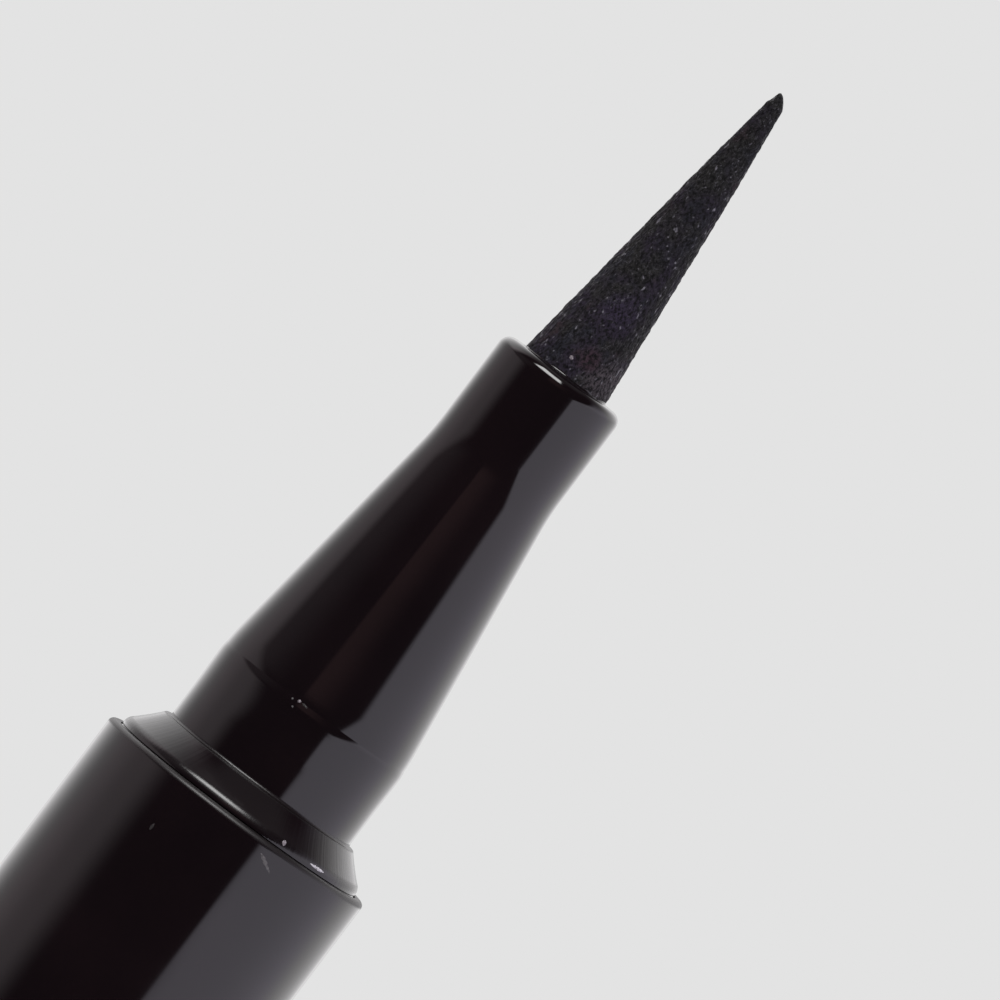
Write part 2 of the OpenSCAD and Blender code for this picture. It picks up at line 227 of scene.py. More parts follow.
def tube_faces(rings, sides, leftward=True):
    """A tube's faces and flat ends. Seen from its last ring, its rings turn leftward or rightward."""
    faces = []
    for ring in range(rings - 1):
        for k in range(sides):
            a = ring * sides + k
            b = ring * sides + (k + 1) % sides
            faces.append([a, b, b + sides, a + sides] if leftward else [a, a + sides, b + sides, b])
    first = list(range(sides))
    last = [(rings - 1) * sides + k for k in range(sides)]
    return faces + ([first[::-1], last] if leftward else [first, last[::-1]])


def eased(share):
    """A share from 0 to 1 that starts and ends gently."""
    return share * share * (3 - 2 * share)


def mesh_object(name, verts, faces):
    """A new object with even shading, except at its sharp edges."""
    mesh = bpy.data.meshes.new(name)
    mesh.from_pydata(verts, [], faces)
    mesh.validate()
    mesh.shade_smooth()
    mesh.set_sharp_from_angle(angle=SHARP)
    made = bpy.data.objects.new(name, mesh)
    bpy.context.scene.collection.objects.link(made)
    return made


def dress(piece, body, slot, material, *nodes):
    """Puts a piece on its body, gives it its finish and hides the nodes that it stands for."""
    piece.data.materials.clear()
    piece.data.materials.append(material)
    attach(piece, body)
    if nodes:
        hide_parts(*nodes)
    return piece


# Shader nodes
class Graph:
    """A short way to write a node tree. A noise's scale is how many of its features fit in a metre."""

    def __init__(self, tree):
        self.tree = tree
        tree.nodes.clear()

    def add(self, kind, settings=None, **inputs):
        node = self.tree.nodes.new(kind)
        for key, value in (settings or {}).items():
            setattr(node, key, value)
        for key, value in inputs.items():
            self.put(node, key.replace("_", " "), value)
        return node

    def put(self, node, key, value):
        socket = node.inputs[int(key[1:])] if key[1:].isdigit() else node.inputs[key]
        if isinstance(value, bpy.types.NodeSocket):
            self.tree.links.new(value, socket)
        else:
            socket.default_value = value

    def math(self, operation, a, b=0.0, c=0.0):
        node = self.add("ShaderNodeMath", {"operation": operation}, i0=a, i1=b, i2=c)
        return node.outputs[0]

    def step(self, value, low, high, to_low=0.0, to_high=1.0):
        """A smooth change from to_low to to_high as value goes from low to high."""
        node = self.add(
            "ShaderNodeMapRange",
            {"interpolation_type": "SMOOTHSTEP"},
            i0=value, i1=low, i2=high, i3=to_low, i4=to_high,
        )
        return node.outputs[0]

    def noise(self, vector, scale, detail=2.0, roughness=0.5, distortion=0.0):
        node = self.add(
            "ShaderNodeTexNoise", Vector=vector, Scale=scale, Detail=detail,
            Roughness=roughness, Distortion=distortion,
        )
        return node.outputs[0]

    def stretched(self, vector, stretch, turn=(0.0, 0.0, 0.0)):
        node = self.add("ShaderNodeMapping", Vector=vector, Scale=stretch, Rotation=turn)
        return node.outputs[0]

    def bump(self, height, strength, depth, **normal):
        """The normal over a relief so many millimetres deep, on top of another one if given."""
        node = self.add("ShaderNodeBump", Strength=strength, Distance=depth * MM, Height=height, **normal)
        return node.outputs[0]

    def blend(self, share, a, b):
        node = self.add("ShaderNodeMix", {"data_type": "RGBA"}, i0=share, i6=a, i7=b)
        return node.outputs[2]

    def scaled(self, colour, factor):
        node = self.add("ShaderNodeVectorMath", {"operation": "SCALE"}, i0=colour, Scale=factor)
        return node.outputs[0]

    def sum(self, a, b):
        node = self.add("ShaderNodeVectorMath", {"operation": "ADD"}, i0=a, i1=b)
        return node.outputs[0]


def material(name):
    """A new material with its graph, its shader and the place on the piece."""
    made = bpy.data.materials.new(name)
    made.use_nodes = True
    graph = Graph(made.node_tree)
    out = graph.add("ShaderNodeOutputMaterial")
    shader = graph.add("ShaderNodeBsdfPrincipled")
    graph.tree.links.new(shader.outputs[0], out.inputs[0])
    place = graph.add("ShaderNodeTexCoord").outputs["Object"]
    return made, graph, shader, place


def dulled(graph, height, rough, worn):
    """The roughness with wear added. A worn place is a height, how much rougher it is and how far."""
    for at, more, reach in worn:
        away = graph.math("ABSOLUTE", graph.math("SUBTRACT", height, at * MM))
        rough = graph.math("ADD", rough, graph.step(away, reach / 2 * MM, reach * MM, more, 0.0))
    return rough


def streaked(graph, place, x, y, strength, normal):
    """The normal with fine uneven streaks that run down a slope."""
    turn = graph.math("ARCTAN2", x, y)
    line = graph.add("ShaderNodeTexNoise", {"noise_dimensions": "1D"}, W=turn, Scale=34.0, Detail=3.0)
    swirl = graph.noise(graph.stretched(place, (1, 1, 2.5)), 1400.0, 1.0, 0.5, 1.5)
    flow = graph.math("MULTIPLY_ADD", swirl, 0.5, line.outputs[0])
    return graph.bump(flow, strength, 0.03, Normal=normal)


# The two shades of the gloss black
GLOSS_DEEP = (0.0030, 0.0016, 0.0020, 1)
GLOSS_PALE = (0.0046, 0.0024, 0.0029, 1)


def gloss_black(name, worn=(), streaks=0.0):
    """Polished black moulding with faint smears, hairline scratches, worn places and streaks."""
    made, graph, shader, place = material(name)
    smear = graph.noise(graph.stretched(place, (1, 1, 0.4)), 420.0, 3.0)
    tint = graph.noise(place, 260.0, 2.0)
    graph.put(shader, "Base Color", graph.blend(graph.step(tint, 0.35, 0.7), GLOSS_DEEP, GLOSS_PALE))
    rough = graph.step(smear, 0.4, 0.75, 0.07, 0.12)
    x, y, height = graph.add("ShaderNodeSeparateXYZ", Vector=place).outputs
    graph.put(shader, "Roughness", dulled(graph, height, rough, worn))
    graph.put(shader, "IOR", 1.5)
    skin = graph.noise(graph.stretched(place, (1, 1, 0.5)), 900.0, 1.0)
    hair = graph.noise(graph.stretched(place, (1, 1, 0.03), (0.25, 0.1, 0)), 9000.0, 1.0)
    scratch = graph.step(hair, 0.68, 0.74)
    relief = graph.math("MULTIPLY_ADD", scratch, -0.4, skin)
    normal = graph.bump(relief, 0.03, 0.02)
    graph.put(shader, "Normal", streaked(graph, place, x, y, streaks, normal) if streaks else normal)
    return made


# The inked felt's hues, and its stains and painted sheen: colour, height above the nose, degrees right,
# inner and outer size. The first, pale patch low on the right is painted sheen; the others are stains
FELT_PURPLE = (0.0225, 0.0175, 0.0295, 1)
FELT_GREY = (0.0185, 0.0178, 0.0175, 1)
FELT_BLUE = (0.0165, 0.0170, 0.0240, 1)
FELT_WINE = (0.0270, 0.0170, 0.0215, 1)
FELT_TIP = (0.0055, 0.0060, 0.0058, 1)
# Painted shade: the felt's darkest colour, in its pits
FELT_PAINTED_PIT_SHADE = (0.0008, 0.0007, 0.0010, 1)
FELT_STRAND = (0.0560, 0.0530, 0.0640, 1)
# Painted glint: the pale flecks' colour
FELT_PAINTED_GLINT = (0.155, 0.150, 0.175, 1)
FELT_STAINS_AND_SHEEN = [
    # Painted sheen: pale patch where the right panel lights the nib's base
    ((0.0600, 0.0510, 0.0570, 1), 0.35, 55, 0.5, 1.2),
    ((0.0400, 0.0235, 0.0320, 1), 0.85, 15, 0.15, 0.55),
    ((0.0300, 0.0225, 0.0430, 1), 2.6, 10, 0.3, 0.9),
]
STAIN_RAGGED = 0.3


def stain_and_sheen_patch(graph, place, at, inner, outer):
    """How much of a ragged round patch covers this place, from 1 within inner to 0 past outer: the felt's
    stains and its painted sheen.
    """
    away = graph.add("ShaderNodeVectorMath", {"operation": "DISTANCE"}, i0=place, i1=[c * MM for c in at])
    torn = graph.noise(place, 2600.0, 3.0, 0.6)
    away = graph.math("MULTIPLY_ADD", torn, STAIN_RAGGED * MM, away.outputs["Value"])
    return graph.step(away, (inner + STAIN_RAGGED / 2) * MM, (outer + STAIN_RAGGED / 2) * MM, 1, 0)


def felt_hue(graph, place, hue, other):
    """The felt's colour at its lightest, in patches and stains, with a pale patch of painted sheen low on
    the right, and darker towards the tip.
    """
    dark = graph.blend(graph.step(hue, 0.42, 0.58), FELT_PURPLE, FELT_GREY)
    dark = graph.blend(graph.step(other, 0.5, 0.68), dark, FELT_BLUE)
    dark = graph.blend(graph.step(other, 0.42, 0.3), dark, FELT_WINE)
    base = rim_z + nose_len
    for colour, height, turn, inner, outer in FELT_STAINS_AND_SHEEN:
        side = math.radians(turn)
        at = (nib_r * math.sin(side), -nib_r * math.cos(side), base + height)
        dark = graph.blend(stain_and_sheen_patch(graph, place, at, inner, outer), dark, colour)
    height = graph.add("ShaderNodeSeparateXYZ", Vector=place).outputs[2]
    return graph.blend(graph.step(height, base * MM, (base + nib_len) * MM, 0.05, 0.38), dark, FELT_TIP)


def felt(name):
    """Compressed black fibres soaked in ink: dull, with painted shade as dark pits, paler strands and
    painted glints as pale flecks.
    """
    made, graph, shader, place = material(name)
    hue = graph.noise(graph.stretched(place, (1, 1, 0.8)), 1000.0, 3.0)
    other = graph.noise(graph.stretched(place, (1, 1, 0.8), (0.4, 0.9, 0.2)), 1300.0, 3.0)
    grain = graph.noise(graph.stretched(place, (1, 1, 0.7), (0.3, 0.5, 0.1)), 12000.0, 3.0, 0.7)
    # Painted shade: the darkest grain stands for shadow in the felt's pits
    shade = graph.blend(graph.step(grain, 0.36, 0.6), FELT_PAINTED_PIT_SHADE, felt_hue(graph, place, hue, other))
    curl = graph.math("ABSOLUTE", graph.math("SUBTRACT", graph.noise(place, 4600.0, 1.5, 0.5, 1.4), 0.5))
    strand = graph.math("MULTIPLY", graph.step(curl, 0.004, 0.022, 1, 0), graph.step(hue, 0.44, 0.58))
    strand = graph.math("MULTIPLY", strand, graph.step(grain, 0.42, 0.6))
    shade = graph.blend(strand, shade, FELT_STRAND)
    # Painted glints: pale flecks in the colour stand in for the felt's sparkle
    spark = graph.noise(graph.stretched(place, (1, 1, 0.7), (0.5, 0.2, 0.3)), 8000.0, 1.0)
    painted_glint = graph.math("MULTIPLY", graph.step(spark, 0.66, 0.76), graph.step(grain, 0.4, 0.6, 0.15, 1.0))
    graph.put(shader, "Base Color", graph.blend(painted_glint, shade, FELT_PAINTED_GLINT))
    graph.put(shader, "Roughness", graph.step(spark, 0.5, 0.7, 0.75, 0.45))
    graph.put(shader, "Specular IOR Level", 0.16)
    fibre = graph.noise(graph.stretched(place, (1, 1, 0.5), (0.2, 0.3, 0.1)), 7000.0, 3.0, 0.65)
    graph.put(shader, "Normal", graph.bump(fibre, 1.0, 0.09))
    return made


def residue(name, deep, pale):
    """Dried film, chalky and uneven. The pale films on the bead are painted highlights."""
    made, graph, shader, place = material(name)
    chalk = graph.noise(place, 16000.0, 2.0, 0.6)
    graph.put(shader, "Base Color", graph.blend(graph.step(chalk, 0.35, 0.65), deep, pale))
    graph.put(shader, "Roughness", graph.step(chalk, 0.3, 0.7, 0.45, 0.7))
    graph.put(shader, "Normal", graph.bump(chalk, 0.4, 0.01))
    return made


def moulded(name, deep, pale):
    """Plain moulded plastic with a faint grain and flow marks."""
    made, graph, shader, place = material(name)
    flow = graph.noise(graph.stretched(place, (1, 1, 0.2)), 300.0, 3.0)
    graph.put(shader, "Base Color", graph.blend(graph.step(flow, 0.3, 0.7), deep, pale))
    graph.put(shader, "Roughness", graph.step(flow, 0.3, 0.7, 0.42, 0.54))
    grain = graph.noise(place, 9000.0, 2.0)
    graph.put(shader, "Normal", graph.bump(grain, 0.15, 0.02))
    return made


def rubber(name, deep, pale):
    """Soft black seal with a powdery skin."""
    made, graph, shader, place = material(name)
    dust = graph.noise(place, 5000.0, 4.0, 0.7)
    graph.put(shader, "Base Color", graph.blend(graph.step(dust, 0.45, 0.75), deep, pale))
    graph.put(shader, "Roughness", graph.step(dust, 0.3, 0.7, 0.6, 0.8))
    graph.put(shader, "Normal", graph.bump(dust, 0.3, 0.02))
    return made


def steel(name, deep, pale):
    """Bright drawn steel with fine lines."""
    made, graph, shader, place = material(name)
    lines = graph.noise(graph.stretched(place, (1, 1, 6)), 2500.0, 3.0)
    graph.put(shader, "Base Color", graph.blend(graph.step(lines, 0.3, 0.7), deep, pale))
    graph.put(shader, "Metallic", 1.0)
    graph.put(shader, "Roughness", graph.step(lines, 0.3, 0.7, 0.2, 0.36))
    graph.put(shader, "Normal", graph.bump(lines, 0.1, 0.01))
    return made


BLACK = gloss_black("gloss_black_moulding")
RIM_BLACK = gloss_black("gloss_black_rim", [(rim_z, 0.36, 0.22)])
COLLAR_WEAR = [(rim_z + bead_h, 0.17, 0.16), (rim_z + collar_h + fillet_r / 2, 0.26, 0.12)]
COLLAR_BLACK = gloss_black("gloss_black_collar", COLLAR_WEAR, 0.1)
FELT = felt("inked_felt")
NATURAL = moulded("natural_moulding", (0.66, 0.66, 0.63, 1), (0.74, 0.74, 0.72, 1))
SEAL = rubber("seal_rubber_skin", (0.022, 0.022, 0.024, 1), (0.05, 0.05, 0.052, 1))
STEEL = steel("drawn_steel", (0.50, 0.50, 0.52, 1), (0.66, 0.66, 0.68, 1))
# The pale film, and the thin film on the bead, are painted highlights
PAINTED_HIGHLIGHT_FILM = residue("painted_highlight_film", (0.34, 0.33, 0.35, 1), (0.62, 0.61, 0.64, 1))
THIN_FILM_AND_HIGHLIGHT = residue("thin_film_and_painted_highlight", (0.11, 0.095, 0.105, 1), (0.30, 0.27, 0.29, 1))
FAINT_FILM = residue("faint_film", (0.042, 0.040, 0.041, 1), (0.122, 0.116, 0.120, 1))
GREY_FILM = residue("grey_film", (0.005, 0.0038, 0.0042, 1), (0.0105, 0.0082, 0.0088, 1))


# The camera: square to the pen but a little above it, far off with a long lens
PIXELS_PER_MM = 32.9
PICTURE_PIXELS = 1000
RAISED = math.radians(1.5)
PEN_TURN = math.radians(36.92)
CAMERA_FAR = 500.0
CLIP_NEAR = 10
CLIP_FAR = 50000
AIM_HEIGHT = 12.32
AIM_RIGHT = 0.708


def make_camera():
    data = bpy.data.cameras.new("camera")
    camera = bpy.data.objects.new("camera", data)
    bpy.context.scene.collection.objects.link(camera)
    bpy.context.scene.camera = camera
    data.lens = data.sensor_width * CAMERA_FAR / (PICTURE_PIXELS / PIXELS_PER_MM)
    data.clip_start = CLIP_NEAR * MM
    data.clip_end = CLIP_FAR * MM
    back = Vector((0, -math.cos(RAISED), math.sin(RAISED)))
    level_right = Vector((1, 0, 0))
    level_up = back.cross(level_right)
    c, s = math.cos(PEN_TURN), math.sin(PEN_TURN)
    right = level_right * c + level_up * s
    up = level_up * c - level_right * s
    aim = Vector((AIM_RIGHT, 0, rim_z + AIM_HEIGHT)) * MM
    turn = Matrix((right, up, back)).transposed().to_4x4()
    camera.matrix_world = Matrix.Translation(aim + back * CAMERA_FAR * MM) @ turn


make_camera()

# The studio, as the directions that light comes from: azimuth 0 is towards the camera, 90 towards +X.
# A pair of degrees is where a change starts and where it ends
BACKDROP = (0.768, 0.768, 0.768, 1)
BACKDROP_AZIMUTH = (168, 172)
BACKDROP_ELEVATION = (6, 10)
ROOM = (0.071, 0.052, 0.064)

# Key light above the front left, with its left, right, low and high side, and a little light overhead
KEY_SIDES = ((-65, -57), (-1, 7), (38, 46), (62, 70))
KEY_LEVEL = 11.5
OVERHEAD = (62, 75)
OVERHEAD_LEVEL = 0.12

# Faint warm strip at the camera's side, with its four sides
WARM_SIDES = ((-18, -15), (-14, 26), (3, 8), (32, 38))
WARM = (0.18, 0.105, 0.10)

# Right panel: its near side's azimuth changes over a bend low down, and the side leans back above that.
# The side's softness has a start and an end, each with its place at the bend and its change per degree
RIGHT_HUE = (0.98, 0.945, 1.073, 1)
RIGHT_BEND = (-3.6, -0.8)
RIGHT_FOOT = (26.9, 34.2)
RIGHT_LEAN = 1.16
RIGHT_START = (-1.2, -0.2)
RIGHT_END = (1.8, 0.25)
RIGHT_RISE = (8, 22)
RIGHT_LEVELS = (1.22, 1.4)
RIGHT_FALL = (24, 60)
RIGHT_TOP = 0.05
RIGHT_BACK = (110, 140)
RIGHT_BACK_RISE = (4, 12)
RIGHT_BACK_GAINS = (0.07, -0.05)

# Left panel: its soft near side leans up to some height, above which it gets brighter and then fades.
# Lower down it is brightest behind and dimmest in front, where some of its light spills past its side
LEFT_HUE = (1.05, 0.95, 0.985, 1)
LEFT_EDGE = (-84.5, -58.5)
LEFT_LEAN = 2.2
LEFT_LEAN_TOP = 14.0
LEFT_BACK = (-156, -120)
LEFT_LEVELS = (1.25, 0.58)
LEFT_FRONT = (-105, -88)
LEFT_FRONT_SHARE = 0.88
LEFT_RISE_END = 26
LEFT_HIGH = 1.40
LEFT_FALL = (32, 66)
LEFT_TOP = 0.12
SPILL_LEVEL = 0.14
SPILL_AZIMUTH = (-85, -35)
SPILL_LOW = (0, 6)
SPILL_HIGH = (20, 40)

# Both panels: where one ends and the other starts, their hue's change and fade, and the gap behind the pen
LEFT_STOP = (-1, 0)
RIGHT_STOP = (0, 1)
HUE_CHANGE = (-5, 5)
HUE_FADE = (105, 130)
WHITE = (1, 1, 1, 1)
GAP = 0.93
GAP_AZIMUTH = (118, 134)
GAP_ELEVATION = (-9, -4.5)


def panel(graph, azimuth, elevation, left, right, low, high):
    """How much of a light panel lies in this direction, from 0 to 1."""
    share = graph.step(azimuth, *left)
    share = graph.math("MULTIPLY", share, graph.step(azimuth, *right, 1, 0))
    share = graph.math("MULTIPLY", share, graph.step(elevation, *low))
    return graph.math("MULTIPLY", share, graph.step(elevation, *high, 1, 0))


def right_panel(graph, azimuth, elevation):
    """Tall even panel on the right, whose near side leans back."""
    foot = graph.step(elevation, *RIGHT_BEND, *RIGHT_FOOT)
    above = graph.math("MAXIMUM", graph.math("SUBTRACT", elevation, RIGHT_BEND[1]), 0.0)
    inside = graph.math("SUBTRACT", azimuth, graph.math("MULTIPLY_ADD", above, RIGHT_LEAN, foot))
    near = graph.math("MULTIPLY_ADD", above, RIGHT_START[1], RIGHT_START[0])
    far = graph.math("MULTIPLY_ADD", above, RIGHT_END[1], RIGHT_END[0])
    share = graph.math("MULTIPLY", graph.step(inside, near, far), graph.step(azimuth, *RIGHT_STOP))
    level = graph.step(elevation, *RIGHT_RISE, *RIGHT_LEVELS)
    level = graph.math("MULTIPLY", level, graph.step(elevation, *RIGHT_FALL, 1.0, RIGHT_TOP))
    gain = graph.step(elevation, *RIGHT_BACK_RISE, *RIGHT_BACK_GAINS)
    gain = graph.math("MULTIPLY", graph.step(azimuth, *RIGHT_BACK), gain)
    level = graph.math("MULTIPLY", level, graph.math("ADD", gain, 1.0))
    return graph.math("MULTIPLY", share, level)


def left_panel(graph, azimuth, elevation):
    """Dimmer panel on the left with a soft leaning side and some spill."""
    lean = graph.math("MULTIPLY", graph.math("MINIMUM", elevation, LEFT_LEAN_TOP), LEFT_LEAN)
    inside = graph.math("ADD", azimuth, lean)
    share = graph.step(inside, *LEFT_EDGE, 1, 0)
    share = graph.math("MULTIPLY", share, graph.step(azimuth, *LEFT_STOP, 1, 0))
    level = graph.step(azimuth, *LEFT_BACK, *LEFT_LEVELS)
    level = graph.math("MULTIPLY", level, graph.step(azimuth, *LEFT_FRONT, 1.0, LEFT_FRONT_SHARE))
    high = graph.step(elevation, LEFT_LEAN_TOP, LEFT_RISE_END)
    level = graph.math("MULTIPLY_ADD", high, graph.math("SUBTRACT", LEFT_HIGH, level), level)
    level = graph.math("MULTIPLY", level, graph.step(elevation, *LEFT_FALL, 1.0, LEFT_TOP))
    spill = graph.step(azimuth, *SPILL_AZIMUTH, SPILL_LEVEL, 0.0)
    spill = graph.math("MULTIPLY", spill, graph.step(elevation, *SPILL_LOW))
    spill = graph.math("MULTIPLY", spill, graph.step(elevation, *SPILL_HIGH, 1, 0))
    return graph.math("MAXIMUM", graph.math("MULTIPLY", share, level), spill)


def key_light(graph, azimuth, elevation):
    """The key light and a little light from overhead."""
    key = panel(graph, azimuth, elevation, *KEY_SIDES)
    overhead = graph.step(elevation, *OVERHEAD, 0.0, OVERHEAD_LEVEL)
    light = graph.math("MULTIPLY_ADD", key, KEY_LEVEL, overhead)
    return graph.add("ShaderNodeCombineXYZ", i0=light, i1=light, i2=light).outputs[0]


def side_light(graph, azimuth, elevation):
    """Both side panels, faintly coloured, but white behind the pen.

    Low down behind the pen there is next to none, so that its gloss shows light and dark from there too.
    """
    aside = graph.math("ABSOLUTE", azimuth)
    hue = graph.blend(graph.step(azimuth, *HUE_CHANGE), LEFT_HUE, RIGHT_HUE)
    hue = graph.blend(graph.step(aside, *HUE_FADE), hue, WHITE)
    both = graph.math("ADD", right_panel(graph, azimuth, elevation), left_panel(graph, azimuth, elevation))
    hidden = graph.step(elevation, *GAP_ELEVATION, GAP, 0.0)
    hidden = graph.math("MULTIPLY", graph.step(aside, *GAP_AZIMUTH), hidden)
    return graph.scaled(hue, graph.math("MULTIPLY", both, graph.math("SUBTRACT", 1.0, hidden)))


def warm_light(graph, azimuth, elevation):
    """The warm strip, sharp on its left."""
    return graph.scaled(WARM, panel(graph, azimuth, elevation, *WARM_SIDES))


def backdrop_seen(graph, azimuth, elevation):
    """Where the plain backdrop shows: to the camera, and in reflections that look straight back."""
    path = graph.add("ShaderNodeLightPath")
    back = graph.step(graph.math("ABSOLUTE", azimuth), *BACKDROP_AZIMUTH)
    level = graph.step(graph.math("ABSOLUTE", elevation), *BACKDROP_ELEVATION, 1, 0)
    back = graph.math("MULTIPLY", back, level)
    clear = graph.math("MAXIMUM", path.outputs["Is Glossy Ray"], path.outputs["Is Transmission Ray"])
    return graph.math("MAXIMUM", path.outputs["Is Camera Ray"], graph.math("MULTIPLY", clear, back))


def make_world():
    world = bpy.data.worlds.new("studio")
    bpy.context.scene.world = world
    world.use_nodes = True
    graph = Graph(world.node_tree)
    way = graph.add("ShaderNodeSeparateXYZ", Vector=graph.add("ShaderNodeTexCoord").outputs["Generated"])
    x, y, z = way.outputs
    azimuth = graph.math("ARCTAN2", x, graph.math("MULTIPLY", y, -1.0))
    azimuth = graph.math("MULTIPLY", azimuth, math.degrees(1))
    elevation = graph.math("MULTIPLY", graph.math("ARCSINE", z), math.degrees(1))
    lit = ROOM
    for light in (key_light, side_light, warm_light):
        lit = graph.sum(lit, light(graph, azimuth, elevation))
    colour = graph.blend(backdrop_seen(graph, azimuth, elevation), lit, BACKDROP)
    shade = graph.add("ShaderNodeBackground", Color=colour, Strength=1.0)
    out = graph.add("ShaderNodeOutputWorld")
    graph.tree.links.new(shade.outputs[0], out.inputs[0])


# The floor
FLOOR_COLOUR = (0.614, 0.627, 0.616, 1)
FLOOR_RADIUS = 240
FLOOR_FADE = 160
FLOOR_SIDES = 96
FLOOR_RINGS = 24


def make_floor():
    """A pale disc to stand on, which takes the pen's shadow and fades into the backdrop at its rim."""
    sides = FLOOR_SIDES
    turns = [2 * math.pi * k / sides for k in range(sides)]
    verts = [(0, 0, 0)]
    for i in range(FLOOR_RINGS):
        reach = FLOOR_RADIUS * MM * ((i + 1) / FLOOR_RINGS) ** 2
        verts += [(reach * math.cos(t), reach * math.sin(t), 0) for t in turns]
    faces = [[0, 1 + k, 1 + (k + 1) % sides] for k in range(sides)]
    for i in range(FLOOR_RINGS - 1):
        a, b = 1 + i * sides, 1 + (i + 1) * sides
        faces += [[a + k, b + k, b + (k + 1) % sides, a + (k + 1) % sides] for k in range(sides)]
    floor = mesh_object("floor", verts, faces)
    made, graph, shader, place = material("floor_paper")
    graph.put(shader, "Base Color", FLOOR_COLOUR)
    graph.put(shader, "Roughness", 1.0)
    graph.put(shader, "Specular IOR Level", 0.0)
    away = graph.add("ShaderNodeVectorMath", {"operation": "LENGTH"}, i0=place).outputs["Value"]
    graph.put(shader, "Alpha", graph.step(away, FLOOR_FADE * MM, FLOOR_RADIUS * MM, 1, 0))
    floor.data.materials.append(made)


make_world()
make_floor()


def make_barrel():
    mouth_r = barrel_r - mouth_wall
    bore_r = barrel_r - barrel_wall
    outline = softened([
        (mouth_r, 0),
        (barrel_r, 0, rim_round),
        (barrel_r, -barrel_len, rim_round),
        (mouth_r, -barrel_len),
        (mouth_r, mouth_depth - barrel_len),
        (bore_r, mouth_depth - barrel_len),
        (bore_r, -mouth_depth),
        (mouth_r, -mouth_depth),
    ])
    piece = turned("barrel_tube", braced(outline), rim_z)
    return dress(piece, "pen", "gloss_black", RIM_BLACK, "barrel")


# The part of the collar's slope that has points of its own, in shares of the way from the bead to the lip
SLOPE_FIRST = 0.2
SLOPE_LAST = 0.8


def collar_slope():
    """Points along the collar's slope between the bead and the lip, which is slightly hollow."""
    foot = Vector((collar_r, bead_h))
    way = Vector((neck_r + collar_lip, collar_h)) - foot
    inward = Vector((-way.y, way.x)).normalized()
    inward = -inward if inward.x > 0 else inward
    shares = [SLOPE_FIRST + (SLOPE_LAST - SLOPE_FIRST) * i / ARC_STEPS for i in range(ARC_STEPS + 1)]
    return [tuple(foot + way * s + inward * (collar_sag * 4 * s * (1 - s))) for s in shares]


def make_collar():
    low = flange_t - mouth_depth + seat_gap
    outline = softened([
        (neck_r + fit_gap, low),
        (collar_r, low),
        (collar_r, -seam_groove),
        (collar_r - seam_groove, 0),
        (collar_r, seam_groove),
        (collar_r, bead_h, bead_round),
        *collar_slope(),
        (neck_r + collar_lip, collar_h, collar_round),
        (neck_r + fillet_lip + fillet_r, collar_h),
        (neck_r + fillet_lip, collar_h, fillet_r),
        (neck_r + fillet_lip, collar_h + fillet_r),
        (neck_r - fillet_lip, collar_h + fillet_r),
        (neck_r - fillet_lip, collar_h),
        (neck_r + fit_gap, collar_h),
    ])
    piece = turned("collar_ring", braced(outline), rim_z)
    return dress(piece, "pen", "gloss_black", COLLAR_BLACK, "shoulder_collar")


def witness_step():
    """Points down the neck over its low step, which a short hollow front and a long even run back make."""
    crease = neck_len + ridge_late
    ridge = crease - ridge_fall
    shares = [i / ARC_STEPS for i in range(ARC_STEPS + 1)]
    front = [(neck_r + ridge_h - ridge_drop * (1 - s) ** 2, crease - ridge_fall * s) for s in shares]
    back = [(neck_r + ridge_h * (1 - eased(s)), ridge - ridge_rise * s) for s in shares[1:]]
    return front + back


def make_nose():
    flange_top = flange_t - mouth_depth
    skirt_r = barrel_r - barrel_wall - skirt_gap
    chamber_top = skirt_end + skirt_len - chamber_roof
    duct_r = neck_r - duct_wall
    guide_r = nib_r + fit_gap
    guide_end = nose_len - guide_len
    outline = softened([
        (guide_r, nose_len),
        (front_r, nose_len, front_round),
        (front_r, nose_len - front_len, blend_round),
        (neck_r - neck_step, neck_len + base_len, base_round),
        *witness_step(),
        (neck_r, flange_top),
        (collar_r, flange_top),
        (collar_r, seat_gap - mouth_depth),
        (skirt_r, seat_gap - mouth_depth),
        (skirt_r, skirt_end),
        (skirt_r - skirt_wall, skirt_end),
        (skirt_r - skirt_wall, chamber_top),
        (duct_r, chamber_top),
        (duct_r, duct_end),
        (retainer_r, duct_end),
        (retainer_r, guide_end),
        (guide_r, guide_end),
    ])
    piece = turned("nose_shell", braced(outline), rim_z)
    return dress(piece, "pen", "gloss_black", BLACK, "nose_cone")


def make_tail():
    grip_end = -mouth_depth - tail_grip
    outline = softened([
        (0, spigot_len),
        (neck_r, spigot_len, spigot_round),
        (neck_r, collar_h),
        (neck_r + collar_lip, collar_h, collar_round),
        (collar_r, bead_h, bead_round),
        (collar_r, seat_gap - mouth_depth),
        (tank_r, seat_gap - mouth_depth),
        (tank_r, grip_end),
        (neck_r - tail_wall, grip_end),
        (neck_r - tail_wall, spigot_len - tail_wall),
        (0, spigot_len - tail_wall),
    ])
    piece = turned("tail_end", braced(outline), tail_z, -1)
    dress(piece, "pen", "gloss_black", BLACK, "tail_plug")


def make_cap():
    mouth_r = barrel_r - mouth_wall
    bore_r = barrel_r - cap_wall
    cap_floor = cap_len - cap_end_wall
    outline = softened([
        (mouth_r, 0),
        (barrel_r, 0, rim_round),
        (barrel_r, cap_len, cap_round),
        (0, cap_len),
        (0, cap_floor - boss_h),
        (boss_r, cap_floor - boss_h),
        (boss_r, cap_floor),
        (bore_r, cap_floor),
        (bore_r, cap_mouth),
        (mouth_r, cap_mouth),
    ])
    piece = turned("cap_tube", braced(outline), cap_len, -1)
    dress(piece, "cap", "gloss_black", BLACK, "cap_shell")


